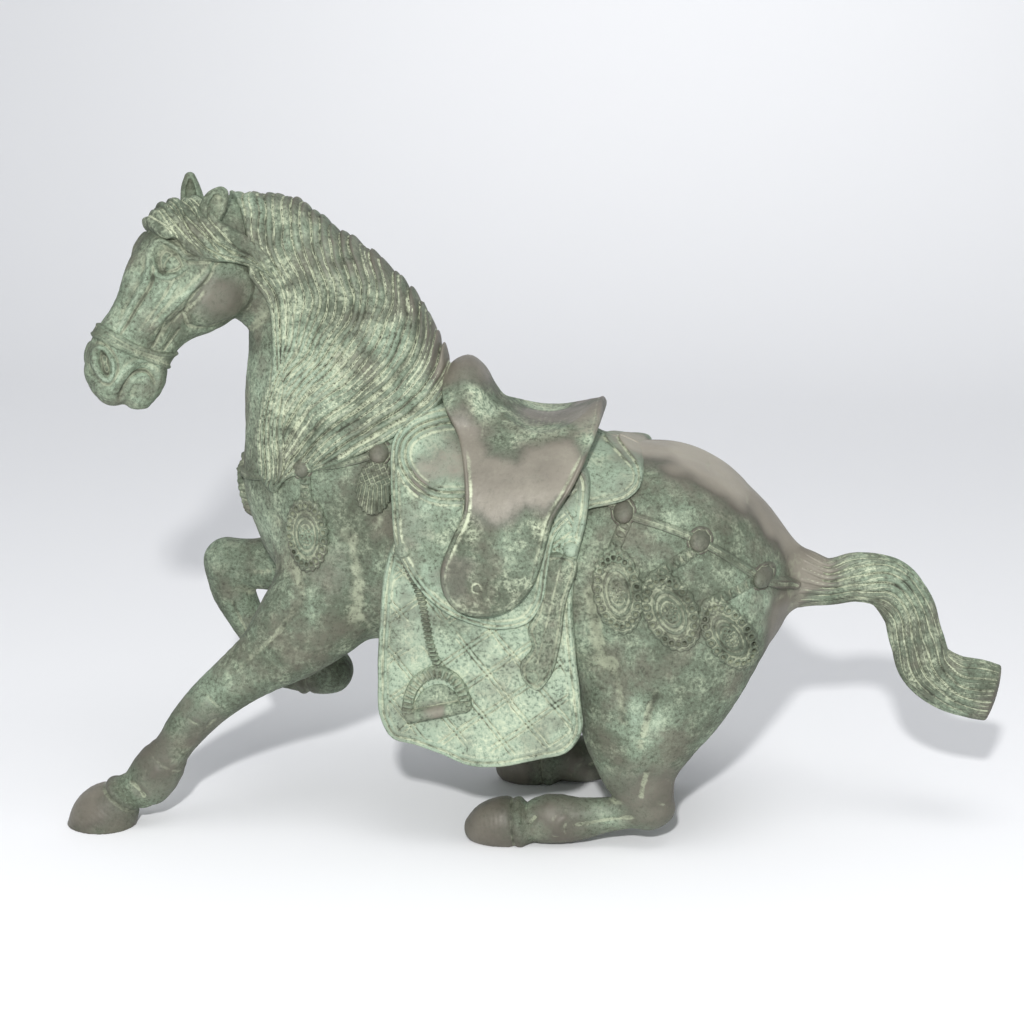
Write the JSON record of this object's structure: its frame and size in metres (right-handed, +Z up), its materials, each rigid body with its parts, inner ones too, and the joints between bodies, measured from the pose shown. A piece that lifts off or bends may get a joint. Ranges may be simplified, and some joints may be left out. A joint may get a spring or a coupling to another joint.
{
  "type": "bronze horse statue",
  "caption": "Hollow-cast bronze horse in the Tang style, saddled and harnessed, rising from folded hind legs with one foreleg reaching out, its head turned to the side.",
  "frame": {"origin": "on the surface it stands on, under the centre of its bounding box", "axes": "+Z up, -X the way the horse's body faces, -Y its near side, towards which the head is turned"},
  "size_m": [0.652, 0.1944, 0.4553],
  "materials": {
    "body_bronze": "pale verdigris patina over bronze, brown where rubbed",
    "hair_bronze": "grooved, dark in the grooves, brown bronze on the ridges",
    "saddle_bronze": "rubbed brown bronze with pale green patches",
    "cloth_bronze": "pale verdigris patina with incised lines",
    "harness_bronze": "green patina, dark in the relief, worn on its edges",
    "hoof_bronze": "rubbed brown bronze",
    "raw_bronze": "bare cast bronze, never seen"
  },
  "bodies": {
    "root": {"breast_bosses": "harness_bronze", "breast_strap": "harness_bronze", "chest_pendant": "harness_bronze", "core_hole_plug": "raw_bronze", "far_breast_pendant_large": "harness_bronze", "far_breast_pendant_small": "harness_bronze", "far_crupper_strap": "harness_bronze", "far_ear": "body_bronze", "far_fore_hoof": "hoof_bronze", "far_fore_leg": "body_bronze", "far_hanging_strap": "harness_bronze", "far_hind_hoof": "hoof_bronze", "far_hind_leg": "body_bronze", "far_rump_pendant_front": "harness_bronze", "far_rump_pendant_middle": "harness_bronze", "far_rump_pendant_rear": "harness_bronze", "far_saddle_cloth": "cloth_bronze", "far_saddle_skirt": "saddle_bronze", "far_stirrup": "harness_bronze", "far_stirrup_leather": "harness_bronze", "far_sweat_flap": "cloth_bronze", "forelock": "hair_bronze", "head": "body_bronze", "head_joint_ring": "raw_bronze", "leg_dowels": "raw_bronze", "mane": "hair_bronze", "near_breast_pendant_large": "harness_bronze", "near_breast_pendant_small": "harness_bronze", "near_crupper_strap": "harness_bronze", "near_ear": "body_bronze", "near_fore_hoof": "hoof_bronze", "near_fore_leg": "body_bronze", "near_hanging_strap": "harness_bronze", "near_hind_hoof": "hoof_bronze", "near_hind_leg": "body_bronze", "near_rump_pendant_front": "harness_bronze", "near_rump_pendant_middle": "harness_bronze", "near_rump_pendant_rear": "harness_bronze", "near_saddle_cloth": "cloth_bronze", "near_saddle_skirt": "saddle_bronze", "near_stirrup": "harness_bronze", "near_stirrup_leather": "harness_bronze", "near_sweat_flap": "cloth_bronze", "neck": "body_bronze", "neck_joint_ring": "raw_bronze", "noseband": "harness_bronze", "rump_bosses": "harness_bronze", "saddle": "saddle_bronze", "tail": "hair_bronze", "tail_tenon": "raw_bronze", "trunk": "body_bronze"}
  },
  "joints": []
}
